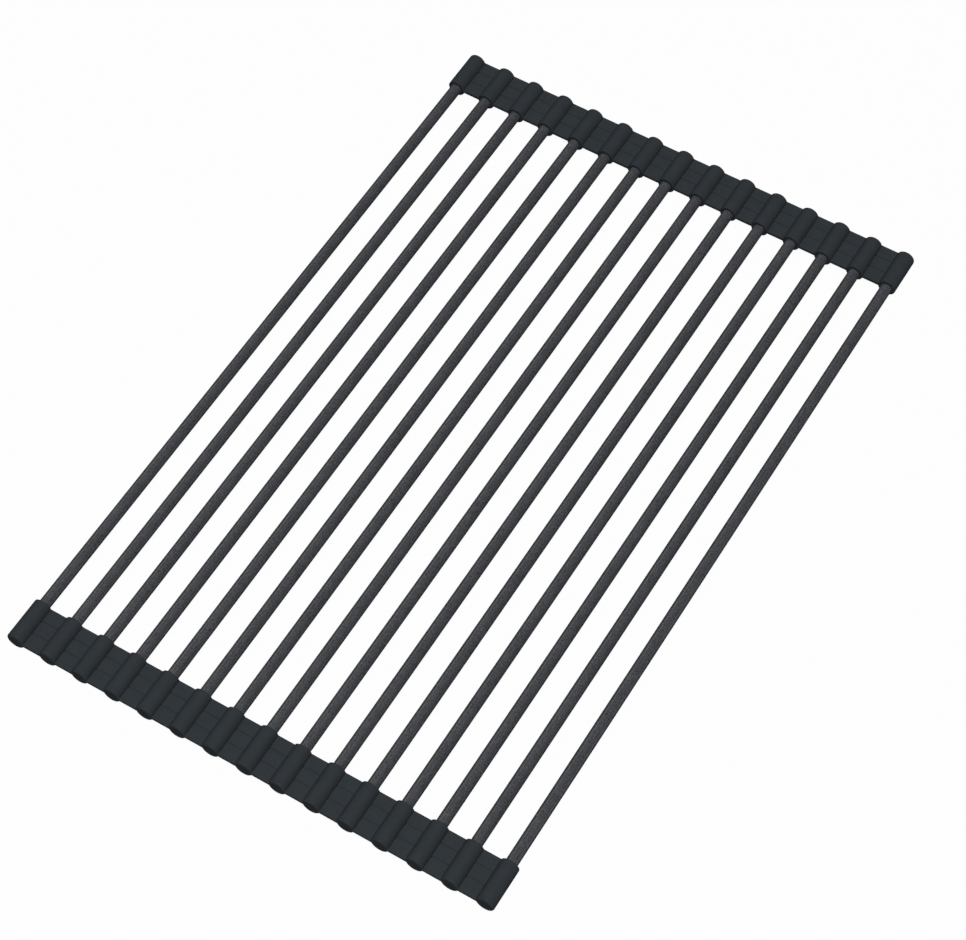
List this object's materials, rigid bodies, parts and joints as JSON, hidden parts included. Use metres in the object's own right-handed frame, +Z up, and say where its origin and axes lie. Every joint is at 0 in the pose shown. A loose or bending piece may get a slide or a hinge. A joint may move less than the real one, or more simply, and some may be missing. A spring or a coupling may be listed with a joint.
{
  "type": "roll up dish drying rack",
  "caption": "Flat drying rack of parallel coated steel rods held by flexible silicone end strips; it lies across a sink or counter and rolls up for storage.",
  "frame": {"origin": "centre of the flat rack in plan, on the surface that it lies on, under the round undersides of its end sockets", "axes": "+Y along the rods, towards the back strip; +X along the strips, towards the end that stays flat when the rack rolls up; +Z up"},
  "size_m": [0.2846, 0.4476, 0.0102],
  "materials": {
    "silicone": "matte moulded silicone, slate grey",
    "coated_steel": "dark grey fine-grained coating, satin"
  },
  "bodies": {
    "rung_01": {"rod_01": "coated_steel", "front_strip_link_01": "silicone", "back_strip_link_01": "silicone"},
    "rung_02": {"rod_02": "coated_steel", "front_strip_link_02": "silicone", "back_strip_link_02": "silicone"},
    "rung_03": {"rod_03": "coated_steel", "front_strip_link_03": "silicone", "back_strip_link_03": "silicone"},
    "rung_04": {"rod_04": "coated_steel", "front_strip_link_04": "silicone", "back_strip_link_04": "silicone"},
    "rung_05": {"rod_05": "coated_steel", "front_strip_link_05": "silicone", "back_strip_link_05": "silicone"},
    "rung_06": {"rod_06": "coated_steel", "front_strip_link_06": "silicone", "back_strip_link_06": "silicone"},
    "rung_07": {"rod_07": "coated_steel", "front_strip_link_07": "silicone", "back_strip_link_07": "silicone"},
    "rung_08": {"rod_08": "coated_steel", "front_strip_link_08": "silicone", "back_strip_link_08": "silicone"},
    "rung_09": {"rod_09": "coated_steel", "front_strip_link_09": "silicone", "back_strip_link_09": "silicone"},
    "rung_10": {"rod_10": "coated_steel", "front_strip_link_10": "silicone", "back_strip_link_10": "silicone"},
    "rung_11": {"rod_11": "coated_steel", "front_strip_link_11": "silicone", "back_strip_link_11": "silicone"},
    "rung_12": {"rod_12": "coated_steel", "front_strip_link_12": "silicone", "back_strip_link_12": "silicone"},
    "rung_13": {"rod_13": "coated_steel", "front_strip_link_13": "silicone", "back_strip_link_13": "silicone"},
    "rung_14": {"rod_14": "coated_steel", "front_strip_link_14": "silicone", "back_strip_link_14": "silicone"},
    "rung_15": {"rod_15": "coated_steel", "front_strip_link_15": "silicone", "back_strip_link_15": "silicone"}
  },
  "joints": [
    {"name": "web_flex_01", "type": "hinge", "parent": "rung_02", "child": "rung_01", "pos_m": [-0.1274, 0, 0.0051], "axis": [0, 1, 0], "range_deg": [0, 65], "stiffness_Nm_per_rad": 0.006},
    {"name": "web_flex_02", "type": "hinge", "parent": "rung_03", "child": "rung_02", "pos_m": [-0.1078, 0, 0.0051], "axis": [0, 1, 0], "range_deg": [0, 64], "stiffness_Nm_per_rad": 0.006},
    {"name": "web_flex_03", "type": "hinge", "parent": "rung_04", "child": "rung_03", "pos_m": [-0.0882, 0, 0.0051], "axis": [0, 1, 0], "range_deg": [0, 58], "stiffness_Nm_per_rad": 0.006},
    {"name": "web_flex_04", "type": "hinge", "parent": "rung_05", "child": "rung_04", "pos_m": [-0.0686, 0, 0.0051], "axis": [0, 1, 0], "range_deg": [0, 53], "stiffness_Nm_per_rad": 0.006},
    {"name": "web_flex_05", "type": "hinge", "parent": "rung_06", "child": "rung_05", "pos_m": [-0.049, 0, 0.0051], "axis": [0, 1, 0], "range_deg": [0, 49], "stiffness_Nm_per_rad": 0.006},
    {"name": "web_flex_06", "type": "hinge", "parent": "rung_07", "child": "rung_06", "pos_m": [-0.0294, 0, 0.0051], "axis": [0, 1, 0], "range_deg": [0, 46], "stiffness_Nm_per_rad": 0.006},
    {"name": "web_flex_07", "type": "hinge", "parent": "rung_08", "child": "rung_07", "pos_m": [-0.0098, 0, 0.0051], "axis": [0, 1, 0], "range_deg": [0, 43.5], "stiffness_Nm_per_rad": 0.006},
    {"name": "web_flex_08", "type": "hinge", "parent": "rung_09", "child": "rung_08", "pos_m": [0.0098, 0, 0.0051], "axis": [0, 1, 0], "range_deg": [0, 41.5], "stiffness_Nm_per_rad": 0.006},
    {"name": "web_flex_09", "type": "hinge", "parent": "rung_10", "child": "rung_09", "pos_m": [0.0294, 0, 0.0051], "axis": [0, 1, 0], "range_deg": [0, 39.5], "stiffness_Nm_per_rad": 0.006},
    {"name": "web_flex_10", "type": "hinge", "parent": "rung_11", "child": "rung_10", "pos_m": [0.049, 0, 0.0051], "axis": [0, 1, 0], "range_deg": [0, 38], "stiffness_Nm_per_rad": 0.006},
    {"name": "web_flex_11", "type": "hinge", "parent": "rung_12", "child": "rung_11", "pos_m": [0.0686, 0, 0.0051], "axis": [0, 1, 0], "range_deg": [0, 36.5], "stiffness_Nm_per_rad": 0.006},
    {"name": "web_flex_12", "type": "hinge", "parent": "rung_13", "child": "rung_12", "pos_m": [0.0882, 0, 0.0051], "axis": [0, 1, 0], "range_deg": [0, 35], "stiffness_Nm_per_rad": 0.006},
    {"name": "web_flex_13", "type": "hinge", "parent": "rung_14", "child": "rung_13", "pos_m": [0.1078, 0, 0.0051], "axis": [0, 1, 0], "range_deg": [0, 34], "stiffness_Nm_per_rad": 0.006},
    {"name": "web_flex_14", "type": "hinge", "parent": "rung_15", "child": "rung_14", "pos_m": [0.1274, 0, 0.0051], "axis": [0, 1, 0], "range_deg": [0, 32.5], "stiffness_Nm_per_rad": 0.006}
  ]
}
